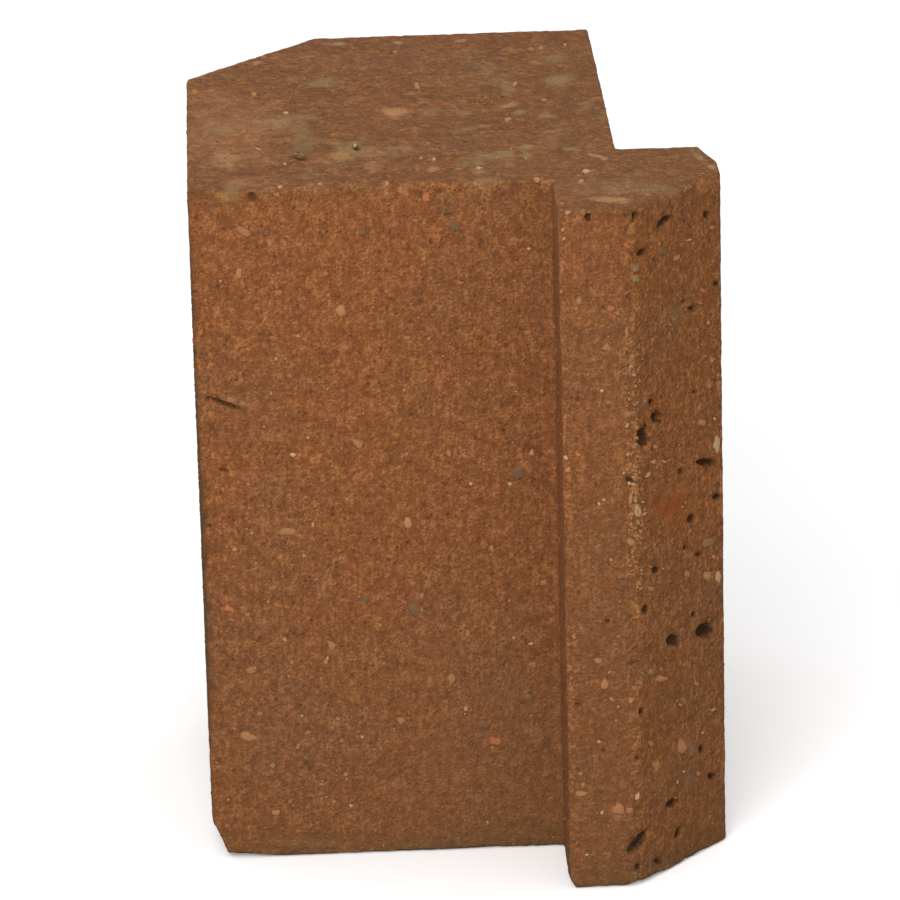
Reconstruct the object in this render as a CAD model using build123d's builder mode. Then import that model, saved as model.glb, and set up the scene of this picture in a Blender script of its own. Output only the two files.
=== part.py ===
"""Concrete corner brick: a block with a mitred lug wrapped round its front right corner."""
import os

from build123d import *

# All lengths in millimetres. +X runs to the right along the front face, +Y away from it, +Z up.
# The origin is the middle of the bed that the brick stands on.

# Block
height = 200.0        # between the two beds, the depth of the mould
block_width = 120.0   # left end to right side
block_depth = 148.0   # front face to back end
inside_cut = 38.0     # each leg of the 45 degree cut at the inside corner of the wall

# Lug, which covers the outside corner of the wall
lug_land = 20.0       # flat strip of its front, up to the line of the right side
lug_front = 30.0      # stands out in front of the front face
lug_side = 27.0       # stands out past the right side
lug_back = 27.0       # runs back along the right side
lug_tail_in = 4.0     # the outer side leans in by this much towards its back
lug_tail_run = 15.0   # over this length

# Arrises as the mould leaves them
arris_radius = 1.6    # outer upright edges
root_radius = 2.0     # inner corners where the lug meets the block
bed_radius = 1.2      # round the top and the bottom

# Broken corners: how far each flat fracture reaches along X, Y and Z
foot_break = (5.5, 36.0, 13.0)  # bottom of the left front corner, a sliver that runs back
foot_spall = (24.0, 9.0, 3.0)   # the same corner, the low fracture along the front
toe_break = (2.2, 12.0, 4.6)    # bottom of the lug, beside the step
brow_break = (2.5, 3.5, 4.0)    # top of the lug, beside the step
cheek_break = (4.0, 3.5, 3.0)   # top of the lug, at the outer end of the mitre

# Lines of the plan, from the middle of the whole outline
left = -(block_width + lug_side) / 2
right = left + block_width
lug_outside = right + lug_side
lug_nose = -(block_depth + lug_front) / 2
front = lug_nose + lug_front
back = front + block_depth
step = right - lug_land

block_corners = [
    (left, front),
    (right, back),
    (left + inside_cut, back),
    (left, back - inside_cut),
]
lug_corners = [
    (step, lug_nose),
    (right, lug_nose),
    (lug_outside, front),
    (lug_outside, front + lug_back - lug_tail_run),
    (lug_outside - lug_tail_in, front + lug_back),
]
step_root = (step, front)
side_root = (right, front + lug_back)


def at_corner(points):
    """Plan vertices of the current sketch that stand at the given points."""
    places = [Vector(*point) for point in points]
    vertices = plan.vertices()
    return [min(vertices, key=lambda vertex: (Vector(vertex) - place).length) for place in places]


def break_corner(corner, reach):
    """Cut a corner off along the flat through one point on each of its three edges.

    Each reach points into the concrete from the corner, along X, Y and Z.
    """
    on_x = corner + Vector(reach[0], 0, 0)
    on_y = corner + Vector(0, reach[1], 0)
    on_z = corner + Vector(0, 0, reach[2])
    middle = (on_x + on_y + on_z) / 3
    outward = (on_y - on_x).cross(on_z - on_x).normalized()
    if outward.dot(corner - middle) < 0:
        outward = -outward
    fracture = Plane(origin=middle, x_dir=on_x - middle, z_dir=outward)
    rim = [fracture.to_local_coords(middle + (end - middle) * 1.6) for end in (on_x, on_y, on_z)]
    with BuildSketch(fracture) as flat:
        with BuildLine():
            Polyline(*[(point.X, point.Y) for point in rim], close=True)
        make_face()
    extrude(flat.sketch, amount=max(abs(length) for length in reach), mode=Mode.SUBTRACT)


with BuildPart() as corner_brick:
    with BuildSketch() as plan:
        with BuildLine():
            Polyline(
                block_corners[0],
                step_root,
                *lug_corners,
                side_root,
                *block_corners[1:],
                close=True,
            )
        make_face()
        fillet(at_corner(block_corners + lug_corners), radius=arris_radius)
        fillet(at_corner([step_root, side_root]), radius=root_radius)
    extrude(amount=height)

    # Both beds have the same small round, all the way round the outline
    beds = corner_brick.faces().filter_by(Axis.Z)
    fillet(beds.edges(), radius=bed_radius)

    foot = Vector(left, front, 0)
    toe = Vector(step, lug_nose, 0)
    brow = Vector(step, lug_nose, height)
    cheek = Vector(lug_outside, front, height)
    break_corner(foot, foot_break)
    break_corner(foot, foot_spall)
    break_corner(toe, toe_break)
    break_corner(brow, (brow_break[0], brow_break[1], -brow_break[2]))
    break_corner(cheek, (-cheek_break[0], cheek_break[1], -cheek_break[2]))

corner_brick.part.label = "corner_brick"
os.makedirs("parts", exist_ok=True)
export_step(corner_brick.part, "parts/corner_brick.step")
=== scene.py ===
"""Concrete corner brick: the pressed block with its worn arrises, voids and stones, and a plain stage."""
from itertools import product

import bpy
import numpy as np
from bpy.props import FloatProperty, FloatVectorProperty, IntProperty, PointerProperty
from mathutils import Matrix, Vector
from mathutils.geometry import delaunay_2d_cdt


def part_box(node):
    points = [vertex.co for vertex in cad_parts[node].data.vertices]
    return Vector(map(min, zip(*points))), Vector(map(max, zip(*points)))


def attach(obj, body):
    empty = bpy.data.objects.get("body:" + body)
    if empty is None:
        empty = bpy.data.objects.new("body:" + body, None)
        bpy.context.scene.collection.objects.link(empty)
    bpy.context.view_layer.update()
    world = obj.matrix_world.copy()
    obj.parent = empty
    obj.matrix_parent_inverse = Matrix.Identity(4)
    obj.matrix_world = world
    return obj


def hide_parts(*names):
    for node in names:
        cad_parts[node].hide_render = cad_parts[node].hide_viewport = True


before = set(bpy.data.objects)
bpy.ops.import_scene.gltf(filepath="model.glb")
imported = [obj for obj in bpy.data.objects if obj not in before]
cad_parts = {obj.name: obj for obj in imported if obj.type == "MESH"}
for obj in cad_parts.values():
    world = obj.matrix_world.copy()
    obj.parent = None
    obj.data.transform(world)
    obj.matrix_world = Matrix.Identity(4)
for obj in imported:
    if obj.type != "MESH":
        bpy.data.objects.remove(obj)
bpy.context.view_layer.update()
LOW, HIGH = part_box("corner_brick")

bl_info = {
    "name": "Concrete Corner Brick",
    "version": (1, 0, 0),
    "blender": (4, 5, 0),
    "location": "View3D > Sidebar > Brick",
    "description": "Builds a pressed concrete corner brick with a mitred lug, and its stage",
    "category": "Object",
}

MM = 0.001


def linear(red, green, blue):
    """A colour written as 0 to 255 on a screen, as the linear light that a shader takes."""
    value = np.array([red, green, blue]) / 255
    low, high = value / 12.92, ((value + 0.055) / 1.055) ** 2.4
    return tuple(float(v) for v in np.where(value <= 0.04045, low, high))


def length(name, description, default):
    return FloatProperty(name=name, description=description, default=default, unit="LENGTH", precision=4)


def real_number(name, description, default):
    return FloatProperty(name=name, description=description, default=default, min=0)


def whole_number(name, description, default):
    return IntProperty(name=name, description=description, default=default, min=0)


def colour(name, description, default):
    return FloatVectorProperty(
        name=name, description=description, default=default, subtype="COLOR", size=3, min=0, max=1
    )


class BrickSizes(bpy.types.PropertyGroup):
    """The outline of the brick, as its mould gives it."""

    height: length("Height", "Between the two beds", HIGH.z - LOW.z)
    block_width: length("Block width", "Left end to right side", 120 * MM)
    lug_land: length("Lug land", "Flat strip on the front of the lug", 20 * MM)
    lug_front: length("Lug front", "Lug stands out in front of the front face", 30 * MM)
    lug_back: length("Lug back", "Lug runs back along the right side", 27 * MM)
    lug_tail_in: length("Lug tail in", "Outer side leans in towards its back", 4 * MM)
    lug_tail_run: length("Lug tail run", "Length of the leaning part", 15 * MM)
    inside_cut: length("Inside cut", "Legs of the cut at the inside corner", 38 * MM)
    arris_radius: length("Arris radius", "Outer upright edges", 1.6 * MM)
    root_radius: length("Root radius", "Inner corners beside the lug", 2 * MM)
    bed_radius: length("Bed radius", "Round the top and the bottom", 1.2 * MM)


class BrickSurface(bpy.types.PropertyGroup):
    """Relief of the concrete."""

    spacing: length("Spacing", "Distance between points before thinning", 0.55 * MM)
    triangles: whole_number("Triangles", "Faces left after thinning", 190000)
    skin: length("Skin", "Mean depth of the surface under the mould's plane", 0.28 * MM)
    grain: length("Grain", "Relief of the sand", 0.13 * MM)
    drag: length("Drag", "Relief of the lines left by stripping the mould", 0.08 * MM)
    smear: length("Smear", "Relief of the struck top", 0.12 * MM)
    tear: length("Tear", "Relief of the torn mitre", 0.15 * MM)
    seat: length("Seat", "How far the paste lies back round a placed stone", 0.22 * MM)
    wear: length("Wear", "Mean flat worn on an arris", 0.8 * MM)
    voids: whole_number("Voids", "Voids strewn over the unseen faces", 110)
    seed: whole_number("Seed", "Changes the random relief", 7)


class StoneSettings(bpy.types.PropertyGroup):
    """Stones that show in the faces, beside those that are placed by the photo."""

    hidden: whole_number("Hidden faces", "Stones on the unseen faces", 330)
    specks: whole_number("Specks", "Small stones on all faces", 2000)
    crumbs: whole_number("Crumbs", "Pale crumbs on the worn arris", 110)
    proud: length("Proud", "How near the tops of the stones come to the mould's plane", 0.04 * MM)
    seed: whole_number("Seed", "Changes the random stones", 11)


class BrickColours(bpy.types.PropertyGroup):
    """Colours of the concrete and its dirt, and of the painted shade at its foot, towards the lug and in its
    voids.
    """

    moulded: colour("Moulded face", "Sides stripped from the mould", linear(134, 79, 41))
    struck: colour("Struck bed", "Smeared greyer paste of the beds", linear(118, 72, 35))
    torn: colour("Torn mitre", "Redder matrix of the torn face", linear(133, 79, 35))
    sand: colour("Sand", "Light grains", linear(200, 136, 84))
    pore: colour("Pore", "Dark pores between the grains", linear(66, 38, 18))
    # Painted shade: the colour that darkens the inside of the voids
    hollow: colour("Hollow", "Inside of the voids", linear(62, 40, 18))
    ashen: colour("Ashen paste", "Greyer paste in slow clouds", linear(122, 80, 50))
    smeared: colour("Smear", "Olive smears of the struck bed", linear(144, 114, 74))
    # Painted shade: the colour that darkens the foot and the side towards the lug
    painted_shade: colour("Foot", "Darker foot, and the side towards the lug", linear(102, 72, 42))


class StoneColours(bpy.types.PropertyGroup):
    """Colours of the kinds of stone, which the smears take too. Only the smears take the dark one."""

    orange: colour("Orange", "Fired clay", linear(174, 104, 62))
    tan: colour("Tan", "Sandstone", linear(168, 116, 74))
    pale: colour("Pale", "Pale sandstone", linear(180, 130, 88))
    white: colour("White", "Quartz and limestone", linear(188, 156, 114))
    grey: colour("Grey", "Slate", linear(116, 88, 62))
    green: colour("Green", "Greenish siltstone", linear(142, 114, 72))
    ochre: colour("Ochre", "Ironstone, yellow", linear(160, 112, 58))
    pink: colour("Pink", "Pink feldspar", linear(166, 112, 78))
    rust: colour("Rust", "Ironstone, red brown", linear(144, 76, 30))
    # Painted shade down the left arris, and faint darkening over the land and the upper lug; only the smears
    # take this colour, no stone
    dark: colour("Dark", "Slag and soot", linear(80, 58, 34))


class StageSettings(bpy.types.PropertyGroup):
    """Floor, lamps and camera."""

    floor_size: length("Floor size", "Side of the square floor", 8.0)
    distance: length("Camera distance", "From the middle of the view", 1.7355)
    lens: real_number("Lens", "Focal length in mm", 240.0)
    world: real_number("Sky", "Strength of the even light", 0.75)
    key: real_number("Key", "Power of the main lamp in W", 15.5)


# Plan of the brick


def plan_corners(sizes):
    """Corners of the plan, counter-clockwise from the left front, each under the name of its next wall."""
    left, right = LOW.x, LOW.x + sizes.block_width
    nose, front = LOW.y, LOW.y + sizes.lug_front
    outside, back = HIGH.x, HIGH.y
    return {
        "front": (left, front),
        "cheek": (right - sizes.lug_land, front),
        "land": (right - sizes.lug_land, nose),
        "mitre": (right, nose),
        "outer": (outside, front),
        "tail": (outside, front + sizes.lug_back - sizes.lug_tail_run),
        "rear": (outside - sizes.lug_tail_in, front + sizes.lug_back),
        "side": (right, front + sizes.lug_back),
        "back": (right, back),
        "cut": (left + sizes.inside_cut, back),
        "left": (left, back - sizes.inside_cut),
    }


# Corners where the lug meets the block
INNER_CORNERS = ("cheek", "side")


def unit(vectors):
    return vectors / np.linalg.norm(vectors, axis=-1, keepdims=True)


def smooth(low, high, values):
    """0 under low, 1 over high, and an S-shaped ramp of the third degree between them."""
    t = np.clip((values - low) / (high - low), 0, 1)
    return t * t * (3 - 2 * t)


class Plan:
    """The sharp plan, with each wall's start, direction, outward normal and length."""

    def __init__(self, sizes):
        corners = plan_corners(sizes)
        self.names = list(corners)
        self.start = np.array(list(corners.values()))
        run = np.roll(self.start, -1, axis=0) - self.start
        self.length = np.linalg.norm(run, axis=1)
        self.along = run / self.length[:, None]
        self.normal = np.stack([self.along[:, 1], -self.along[:, 0]], axis=1)
        self.low, self.high = LOW.z, LOW.z + sizes.height

    def index(self, name):
        return self.names.index(name)

    def inside(self, points):
        """Whether each point lies in the plan: a ray from it along +X crosses the outline an odd
        number of times.
        """
        crossings = np.zeros(len(points), int)
        for start, end in zip(self.start, np.roll(self.start, -1, axis=0)):
            rise = end[1] - start[1]
            if rise:
                spans = (start[1] > points[:, 1]) != (end[1] > points[:, 1])
                meets = start[0] + (points[:, 1] - start[1]) / rise * (end[0] - start[0])
                crossings += spans & (points[:, 0] < meets)
        return crossings % 2 == 1

    def nearest(self, points):
        """For each point the nearest wall, the distance to it, and the places along it and across it."""
        offset = points[:, None, :2] - self.start[None]
        run = (offset * self.along).sum(2)
        clear = np.clip(run, 0, self.length)
        gap = offset - clear[..., None] * self.along
        distance = np.linalg.norm(gap, axis=2)
        wall = distance.argmin(1)
        rows = np.arange(len(points))
        return wall, distance[rows, wall], run[rows, wall]


def rounded_outline(plan, sizes, spacing):
    """Closed outline with each corner turned on an arc tangent to both walls.

    A point on an arc is the arc's centre plus the radius along the outward normal, which turns evenly
    from one wall's normal to the next one's. Returns the points and their outward normals.
    """
    arcs = []
    for k, name in enumerate(plan.names):
        before, after = plan.along[k - 1], plan.along[k]
        turn = np.arctan2(before[0] * after[1] - before[1] * after[0], before @ after)
        radius = sizes.root_radius if name in INNER_CORNERS else sizes.arris_radius
        side = np.sign(turn)
        start = plan.start[k] - before * radius * np.tan(abs(turn) / 2)
        centre = start - side * radius * plan.normal[k - 1]
        steps = max(3, int(np.ceil(abs(turn) * radius / (0.45 * spacing))))
        heading = np.arctan2(plan.normal[k - 1, 1], plan.normal[k - 1, 0])
        angle = heading + turn * np.linspace(0, 1, steps + 1)
        normal = np.stack([np.cos(angle), np.sin(angle)], axis=1)
        arcs.append((centre + side * radius * normal, normal))
    points, normals = [], []
    for (arc, normal), (next_arc, _) in zip(arcs, arcs[1:] + arcs[:1]):
        end, following = arc[-1], next_arc[0]
        steps = max(2, int(round(np.linalg.norm(following - end) / spacing)))
        share = np.linspace(0, 1, steps + 1)[1:-1, None]
        points += [arc, end + share * (following - end)]
        normals += [normal, np.repeat(normal[-1:], steps - 1, axis=0)]
    return np.concatenate(points), np.concatenate(normals)


def wall_surface(plan, sizes, spacing):
    """Upright profile carried along the outline.

    The profile is a quarter round at the foot, a straight rise and a quarter round at the top. A point is
    the outline's point moved in by the profile's inset, at the profile's height. Returns a grid of
    points and normals with one row for each step of the profile.
    """
    outline, outward = rounded_outline(plan, sizes, spacing)
    radius = sizes.bed_radius
    quarter = np.linspace(0, np.pi / 2, 5)
    rise = np.linspace(plan.low + radius, plan.high - radius, int(sizes.height / spacing))[1:-1]
    tilt = np.concatenate([quarter - np.pi / 2, np.zeros(len(rise)), quarter])
    inset = radius * (1 - np.cos(tilt))
    foot = plan.low + radius * (1 + np.sin(quarter - np.pi / 2))
    head = plan.high - radius * (1 - np.sin(quarter))
    level = np.concatenate([foot, rise, head])
    flat = outline[None] - inset[:, None, None] * outward[None]
    points = np.dstack([flat, np.broadcast_to(level[:, None], flat.shape[:2])])
    across = np.cos(tilt)[:, None, None] * outward[None]
    normals = np.dstack([across, np.broadcast_to(np.sin(tilt)[:, None], flat.shape[:2])])
    return points, normals


def ring_faces(rows, columns):
    """Quads between the rows of a grid that closes on itself from its last column to its first."""
    row, column = np.meshgrid(np.arange(rows - 1), np.arange(columns), indexing="ij")
    following = (column + 1) % columns
    quads = [row * columns + column, row * columns + following]
    quads += [(row + 1) * columns + following, (row + 1) * columns + column]
    return np.stack(quads, axis=-1).reshape(-1, 4)


def bed_lattice(plan, ring, spacing):
    """Triangles that fill a ring: a lattice of rows offset by half a step, kept clear of the ring.

    Returns the lattice's points and the triangles, which number the ring's points first.
    """
    low, high = ring.min(0), ring.max(0)
    across = np.arange(low[0], high[0], spacing)
    along = np.arange(low[1], high[1], spacing * np.sqrt(3) / 2)
    x, y = np.meshgrid(across, along)
    x[1::2] += spacing / 2
    grid = np.stack([x.ravel(), y.ravel()], axis=1)
    grid = grid[plan.inside(grid)]
    ring_inset = plan.nearest(ring)[1].min()
    lattice = grid[plan.nearest(grid)[1] > ring_inset + 0.7 * spacing]
    flat = [Vector(p) for p in np.concatenate([ring, lattice]).tolist()]
    filled = delaunay_2d_cdt(flat, [], [list(range(len(ring)))], 1, 1e-7)
    source = np.array([ids[0] for ids in filled[3]])
    return lattice, source[np.array(filled[2])]


# Relief of the concrete


def lattice_value(whole, seed):
    """Pseudo-random value from -1 to 1 for whole numbers x, y, z: multiplied, added, shifted and mixed."""
    mixed = whole[..., 0] * 374761393 + whole[..., 1] * 668265263 + whole[..., 2] * 2246822519
    mixed = (mixed + seed * 3266489917) & 0xFFFFFFFF
    mixed = ((mixed ^ (mixed >> 13)) * 1274126177) & 0xFFFFFFFF
    mixed = mixed ^ (mixed >> 16)
    return mixed / 2147483647.5 - 1


def noise(points, size, seed):
    """Value noise: the eight lattice values round a point, blended by an S-shaped ramp along each axis.

    The lattice's cells have the given size, one length or one for each axis.
    """
    place = points / size
    base = np.floor(place).astype(np.int64)
    share = place - base
    share = share * share * (3 - 2 * share)
    total = np.zeros(len(points))
    for corner in product((0, 1), repeat=3):
        weight = np.where(corner, share, 1 - share).prod(axis=1)
        total += weight * lattice_value(base + np.array(corner), seed)
    return total


def cloud(points, size, seed, octaves=3):
    """Sum of noises, each with half the size and 0.55 of the strength of the one before."""
    total, strength = np.zeros(len(points)), 1.0
    for step in range(octaves):
        total += strength * noise(points, size / 2**step, seed + 17 * step)
        strength *= 0.55
    return total


class Zones:
    """Which face each point belongs to: walls, beds and the torn mitre, with ragged borders."""

    def __init__(self, plan, points):
        self.wall, self.inset, run = plan.nearest(points)
        self.points = points
        self.below_top = plan.high - points[:, 2]
        self.above_foot = points[:, 2] - plan.low
        to_bed = np.minimum(self.below_top, self.above_foot)
        ragged = cloud(points, 4 * MM, 71, 2) * MM
        self.bed = smooth(-3.5 * MM, 0.5 * MM, self.inset - to_bed + 0.8 * ragged)
        torn = self.wall == plan.index("mitre")
        ends = np.minimum(run, plan.length[plan.index("mitre")] - run)
        self.mitre = torn * (1 - self.bed) * smooth(-0.5 * MM, 1.5 * MM, ends + ragged)


# The photo's view: angles in degrees, and the place of the brick's middle in the view
CAMERA_RISE, CAMERA_TURN, CAMERA_ROLL = 20.063, -1.961, -1.44
AIM = np.array((-3.5, 1.0, 100.0)) * MM
AIM_OFFSET = (-2.57 * MM, -0.07 * MM)
PHOTO_SIDE, SENSOR = 900, 36


class View:
    """Where the camera stands, and its axes: turn about Z, rise above level, roll, then step back."""

    def __init__(self, stage):
        rise, turn, roll = np.radians([CAMERA_RISE, CAMERA_TURN, CAMERA_ROLL])
        level = np.array((np.cos(turn), np.sin(turn), 0))
        self.back = np.array((np.sin(turn) * np.cos(rise), -np.cos(turn) * np.cos(rise), np.sin(rise)))
        up = np.cross(self.back, level)
        self.right = level * np.cos(roll) + up * np.sin(roll)
        self.above = up * np.cos(roll) - level * np.sin(roll)
        self.place = AIM - AIM_OFFSET[0] * self.right - AIM_OFFSET[1] * self.above
        self.place = self.place + stage.distance * self.back
        self.focal = stage.lens / SENSOR * PHOTO_SIDE

    def rays(self, pixels):
        """Directions through pixels of the photo, each one unit deep."""
        x, y = (np.asarray(pixels) - PHOTO_SIDE / 2).T[..., None] / self.focal
        return x * self.right - y * self.above - self.back

    def on_plane(self, pixels, spot, normal):
        """Where the rays meet the planes through the spots."""
        ray = self.rays(pixels)
        depth = ((spot - self.place) * normal).sum(-1) / (ray * normal).sum(-1)
        return self.place + depth[..., None] * ray

    def on_brick(self, plan, pixels):
        """Where the rays first meet a wall or the upper bed, and the outward normals there."""
        best = np.full(len(pixels), np.inf)
        spots, normals = np.zeros((len(pixels), 3)), np.zeros((len(pixels), 3))
        walls = zip(plan.start, plan.normal)
        faces = [(np.append(start, 0), np.append(normal, 0)) for start, normal in walls]
        faces.append((np.array((0, 0, plan.high)), np.array((0.0, 0.0, 1.0))))
        for k, (spot, normal) in enumerate(faces):
            meets = self.on_plane(pixels, spot, normal)
            depth = (self.place - meets) @ self.back
            if k < len(plan.start):
                run = (meets[:, :2] - plan.start[k]) @ plan.along[k]
                hit = (run > 0) & (run < plan.length[k])
                hit &= (meets[:, 2] > plan.low) & (meets[:, 2] < plan.high)
            else:
                hit = plan.inside(meets)
            hit &= (self.rays(pixels) @ normal < 0) & (depth < best)
            best[hit], spots[hit], normals[hit] = depth[hit], meets[hit], normal
        if np.isinf(best).any():
            raise ValueError(f"no face behind {np.asarray(pixels)[np.isinf(best)].tolist()}")
        return spots, normals


class Marks:
    """Ovals on the faces, each with a middle, two half axes and the face's outward normal."""

    def __init__(self, middle, long, wide, normal):
        turned = (np.cross(long, wide) * normal).sum(1) < 0
        self.middle, self.long, self.normal = middle, long, normal
        self.wide = np.where(turned[:, None], -wide, wide)

    @classmethod
    def seen(cls, plan, view, rows):
        """Marks from rows of x, y, length, width and turn in the photo, cast along the view on to
        the brick.
        """
        x, y, long, wide, turn = np.array([row[:5] for row in rows], float).T
        pixels = np.stack([x, y], axis=1)
        middle, normal = view.on_brick(plan, pixels)
        cos, sin = np.cos(np.radians(turn)), np.sin(np.radians(turn))
        ahead = pixels + np.stack([cos, sin], axis=1) * long[:, None] / 2
        aside = pixels + np.stack([-sin, cos], axis=1) * wide[:, None] / 2
        ends = [view.on_plane(place, middle, normal) - middle for place in (ahead, aside)]
        return cls(middle, *ends, normal)

    @classmethod
    def strewn(cls, plan, rng, count, sizes, skip=()):
        """Marks at random on the walls and the beds, as many on each as its area asks, clear of the arrises.

        The sizes are the smallest and the largest length, and small ones are more usual.
        """
        names = [name for name in (*plan.names, "top", "foot") if name not in skip]
        rise = plan.high - plan.low
        x, y = plan.start.T
        bed = abs(x @ np.roll(y, -1) - y @ np.roll(x, -1)) / 2
        areas = np.array([bed if name in BEDS else plan.length[plan.index(name)] * rise for name in names])
        shares = rng.choice(len(names), count, p=areas / areas.sum())
        middle, across, normal = np.zeros((count, 3)), np.zeros((count, 3)), np.zeros((count, 3))
        for k, name in enumerate(names):
            rows = np.flatnonzero(shares == k)
            if name in BEDS:
                spots = rng.uniform(plan.start.min(0), plan.start.max(0), (8 * len(rows) + 8, 2))
                spots = spots[plan.inside(spots)]
                spots = spots[plan.nearest(spots)[1] > 2 * MM][: len(rows)]
                side, level = (1, plan.high) if name == "top" else (-1, plan.low)
                middle[rows] = np.column_stack([spots, np.full(len(rows), level)])
                across[rows], normal[rows] = (1, 0, 0), (0, 0, side)
            else:
                wall = plan.index(name)
                run = rng.uniform(1.5 * MM, plan.length[wall] - 1.5 * MM, (len(rows), 1))
                level = rng.uniform(plan.low + 2 * MM, plan.high - 2 * MM, len(rows))
                middle[rows] = np.column_stack([plan.start[wall] + run * plan.along[wall], level])
                across[rows, :2], normal[rows, :2] = plan.along[wall], plan.normal[wall]
        upward = np.cross(normal, across)
        turn = rng.uniform(0, np.pi, (count, 1))
        long = sizes[0] * (sizes[1] / sizes[0]) ** (rng.random((count, 1)) ** 1.8) / 2
        wide = long * rng.uniform(0.5, 0.95, (count, 1))
        ahead = across * np.cos(turn) + upward * np.sin(turn)
        aside = upward * np.cos(turn) - across * np.sin(turn)
        return cls(middle, long * ahead, wide * aside, normal)

    @classmethod
    def joined(cls, first, second):
        pairs = [(getattr(first, key), getattr(second, key)) for key in ("middle", "long", "wide", "normal")]
        return cls(*[np.concatenate(pair) for pair in pairs])

    def radius(self, k, points):
        """How far points lie from the middle of mark k, where 1 is its rim, and infinity off its face."""
        offset = points - self.middle[k]
        depth = np.abs(offset @ self.normal[k])
        axes = np.stack([self.long[k], self.wide[k]], axis=1)
        share = offset @ np.linalg.pinv(axes).T
        return np.where(depth < MARK_DEPTH, np.hypot(share[:, 0], share[:, 1]), np.inf)


BEDS = ("top", "foot")
SEEN_FACES = ("front", "land", "mitre", "top")
MARK_DEPTH = 4.5 * MM  # a mark holds for points this near its face
VOID_REACH = 9 * MM    # and a void for points this near its middle

# Places in the photo, in pixels of its 900 by 900 frame: x, y, length, width, turn from level, clockwise.

# Voids, with their depth in mm
VOIDS = (
    (252, 198, 12, 12, 0, 0.8), (300, 156, 20, 6, 15, 1.3), (449, 216, 15, 5, 0, 0.6),
    (242, 633, 8, 6, 0, 0.5), (297, 636, 10, 4, 0, 0.6), (392, 625, 12, 5, 0, 0.4),
    (386, 661, 12, 4, 0, 0.5), (524, 705, 12, 6, 0, 0.5), (464, 289, 6, 5, 0, 0.4),
    (462, 483, 6, 6, 0, 0.4), (367, 517, 6, 5, 0, 0.4), (210, 381, 6, 6, 0, 0.4),
    (395, 777, 9, 6, 0, 0.5), (374, 790, 12, 6, 0, 0.3), (435, 742, 5, 5, 0, 0.4),
    (527, 745, 8, 8, 0, 0.3), (588, 218, 7, 10, 0, 1.2), (636, 217, 6, 11, 0, 1.4),
    (665, 222, 18, 8, 140, 1.8), (708, 215, 7, 8, 0, 1.5), (643, 253, 10, 7, 150, 1.5),
    (685, 302, 6, 5, 0, 0.9), (694, 309, 11, 5, 0, 1.2), (718, 284, 6, 9, 90, 1.0),
    (708, 463, 20, 8, 0, 2.0), (682, 472, 8, 7, 0, 0.9), (635, 482, 8, 6, 40, 1.2),
    (718, 497, 8, 11, 90, 1.4), (693, 519, 9, 10, 0, 1.6), (700, 555, 9, 5, 0, 1.0),
    (657, 571, 8, 8, 0, 1.1), (647, 610, 9, 10, 0, 1.0), (707, 631, 19, 17, 0, 3.0),
    (695, 615, 7, 6, 0, 1.0), (675, 641, 15, 14, 30, 1.8), (643, 712, 7, 7, 0, 1.1),
    (637, 759, 5, 5, 0, 0.9), (703, 750, 7, 8, 0, 1.2), (713, 777, 9, 8, 0, 1.4),
    (674, 804, 14, 8, 160, 1.8), (680, 833, 13, 8, 110, 2.0), (637, 869, 9, 7, 120, 1.3),
    (659, 862, 9, 6, 30, 1.0), (578, 400, 4, 9, 0, 0.7), (578, 705, 9, 4, 0, 0.8),
    (608, 622, 6, 5, 0, 0.8), (604, 751, 6, 5, 0, 0.7), (357, 146, 9, 6, 0, 0.9),
    (323, 113, 5, 4, 0, 0.7), (224, 404, 48, 5, 20, 1.0), (224, 471, 12, 4, 12, 0.8),
    (653, 403, 7, 9, 0, 1.8), (658, 418, 13, 11, 45, 3.4), (645, 438, 14, 20, 0, 2.2),
    (647, 427, 5, 10, 0, 1.4), (643, 842, 32, 9, -62, 2.4), (696, 393, 5, 5, 0, 1.0),
    (686, 548, 5, 5, 0, 1.0),
)

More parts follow.
